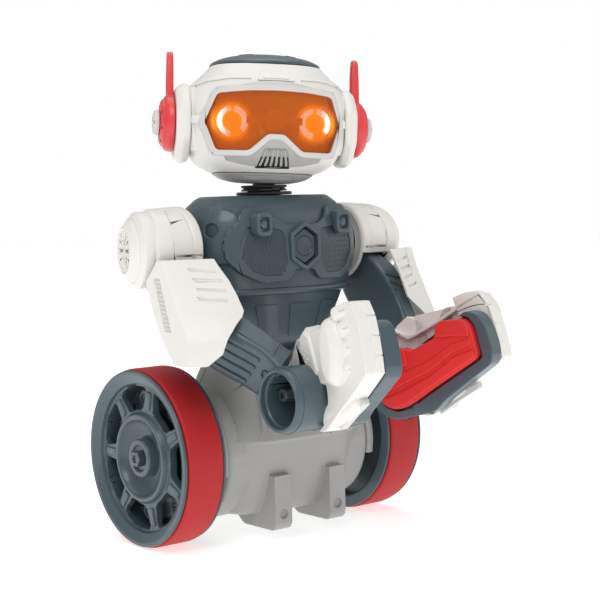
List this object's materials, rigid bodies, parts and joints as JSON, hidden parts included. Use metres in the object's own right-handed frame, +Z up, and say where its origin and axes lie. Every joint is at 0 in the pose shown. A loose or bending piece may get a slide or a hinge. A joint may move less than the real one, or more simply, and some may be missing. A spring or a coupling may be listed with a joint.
{
  "type": "toy robot",
  "caption": "Two-wheeled toy robot with a turning visored head, torso, and two jointed arms whose padded hands close together to grip.",
  "frame": {"origin": "on the floor under the middle of the robot's bounding box", "axes": "+Z up, -Y is the way the torso and hands face, +X is the robot's left; the two wheels turn about an axis along X"},
  "size_m": [0.173, 0.216, 0.2495],
  "materials": {
    "white_plastic": "satin",
    "grey_plastic": "satin",
    "dark_plastic": "satin",
    "black_plastic": "satin",
    "red_rubber": "matte",
    "red_plastic": "satin",
    "visor_plastic": "gloss, translucent orange",
    "eye_light": "lit light pipe",
    "circuit_board": "solder mask",
    "steel": "plated",
    "motor_can": "plated can",
    "cell_jacket": "printed jacket",
    "gear_nylon": "moulded nylon"
  },
  "bodies": {
    "root": {"base_front_shell": "grey_plastic", "base_rear_shell": "grey_plastic", "battery_door": "grey_plastic", "battery_1": "cell_jacket", "battery_2": "cell_jacket", "battery_3": "cell_jacket", "battery_4": "cell_jacket", "drive_motor_left": "motor_can", "drive_motor_right": "motor_can", "rear_skid": "black_plastic", "waist_shell": "dark_plastic", "torso_front_shell": "dark_plastic", "torso_rear_shell": "dark_plastic", "chest_plate": "dark_plastic", "chest_clasp_left": "dark_plastic", "chest_clasp_right": "dark_plastic", "speaker": "black_plastic", "main_board": "circuit_board", "head_motor": "motor_can", "neck_collar": "black_plastic"},
    "head": {"head_front_shell": "white_plastic", "head_rear_shell": "white_plastic", "head_cap": "dark_plastic", "visor_lens": "visor_plastic", "visor_frame": "white_plastic", "eye_board": "circuit_board", "eye_left": "eye_light", "eye_right": "eye_light", "chin_bowl": "grey_plastic", "neck_post": "black_plastic", "ear_ring_left": "white_plastic", "ear_ring_right": "white_plastic", "ear_cap_left": "grey_plastic", "ear_cap_right": "grey_plastic"},
    "start_button": {"start_button": "dark_plastic"},
    "power_switch": {"power_switch": "black_plastic"},
    "wheel_left": {"wheel_rim_left": "dark_plastic", "tire_left": "red_rubber", "axle_left": "steel", "drive_gear_left": "gear_nylon"},
    "pinion_left": {"pinion_left": "gear_nylon"},
    "antenna_left": {"antenna_left": "red_plastic"},
    "shoulder_left": {"shoulder_housing_left": "white_plastic"},
    "arm_left": {"arm_left": "dark_plastic", "arm_guard_left": "white_plastic"},
    "hand_left": {"hand_body_left": "dark_plastic", "hand_cover_left": "white_plastic", "grip_pad_left": "red_rubber"},
    "wheel_right": {"wheel_rim_right": "dark_plastic", "tire_right": "red_rubber", "axle_right": "steel", "drive_gear_right": "gear_nylon"},
    "pinion_right": {"pinion_right": "gear_nylon"},
    "antenna_right": {"antenna_right": "red_plastic"},
    "shoulder_right": {"shoulder_housing_right": "white_plastic"},
    "arm_right": {"arm_right": "dark_plastic", "arm_guard_right": "white_plastic"},
    "hand_right": {"hand_body_right": "dark_plastic", "hand_cover_right": "white_plastic", "grip_pad_right": "red_rubber"}
  },
  "joints": [
    {"name": "wheel_spin_left", "type": "hinge", "parent": "root", "child": "wheel_left", "pos_m": [0.065, 0.03622, 0.045], "axis": [1, 0, 0], "continuous": true},
    {"name": "motor_spin_left", "type": "hinge", "parent": "root", "child": "pinion_left", "pos_m": [0.037, 0.02022, 0.045], "axis": [1, 0, 0], "continuous": true},
    {"name": "wheel_spin_right", "type": "hinge", "parent": "root", "child": "wheel_right", "pos_m": [-0.065, 0.03622, 0.045], "axis": [1, 0, 0], "continuous": true},
    {"name": "motor_spin_right", "type": "hinge", "parent": "root", "child": "pinion_right", "pos_m": [-0.037, 0.02022, 0.045], "axis": [1, 0, 0], "continuous": true},
    {"name": "head_yaw", "type": "hinge", "parent": "root", "child": "head", "pos_m": [0, 0.02522, 0.178], "axis": [0, 0, 1], "range_deg": [-32, 88]},
    {"name": "shoulder_pitch_left", "type": "hinge", "parent": "root", "child": "shoulder_left", "pos_m": [0.062, 0.02722, 0.149], "axis": [-1, 0, 0], "range_deg": [-8, 55]},
    {"name": "shoulder_pitch_right", "type": "hinge", "parent": "root", "child": "shoulder_right", "pos_m": [-0.062, 0.02722, 0.149], "axis": [-1, 0, 0], "range_deg": [-8, 55]},
    {"name": "arm_swing_left", "type": "hinge", "parent": "shoulder_left", "child": "arm_left", "pos_m": [0.062, 0.02722, 0.149], "axis": [0, 0, -1], "range_deg": [-11, 9]},
    {"name": "arm_swing_right", "type": "hinge", "parent": "shoulder_right", "child": "arm_right", "pos_m": [-0.062, 0.02722, 0.149], "axis": [0, 0, -1], "range_deg": [-9, 11]},
    {"name": "wrist_tilt_left", "type": "hinge", "parent": "arm_left", "child": "hand_left", "pos_m": [0.04, -0.05178, 0.0795], "axis": [-1, 0, 0], "range_deg": [-20, 30]},
    {"name": "antenna_tilt_left", "type": "hinge", "parent": "head", "child": "antenna_left", "pos_m": [0.04179, -0.0004, 0.20735], "axis": [0.8817, -0.4688, -0.0541], "range_deg": [-30, 30]},
    {"name": "wrist_tilt_right", "type": "hinge", "parent": "arm_right", "child": "hand_right", "pos_m": [-0.04, -0.05178, 0.0795], "axis": [-1, 0, 0], "range_deg": [-20, 30]},
    {"name": "antenna_tilt_right", "type": "hinge", "parent": "head", "child": "antenna_right", "pos_m": [-0.04461, 0.04554, 0.21265], "axis": [0.8817, -0.4688, -0.0541], "range_deg": [-30, 30]},
    {"name": "start_press", "type": "slide", "parent": "root", "child": "start_button", "axis": [0, 1, 0], "range_m": [0, 0.0015], "stiffness_N_per_m": 400},
    {"name": "switch_slide", "type": "slide", "parent": "root", "child": "power_switch", "axis": [1, 0, 0], "range_m": [0, 0.0043]}
  ],
  "couplings": [
    {"joint": "motor_spin_left", "follows": "wheel_spin_left", "ratio": -3},
    {"joint": "motor_spin_right", "follows": "wheel_spin_right", "ratio": -3},
    {"joint": "arm_swing_right", "follows": "arm_swing_left", "ratio": -1}
  ]
}
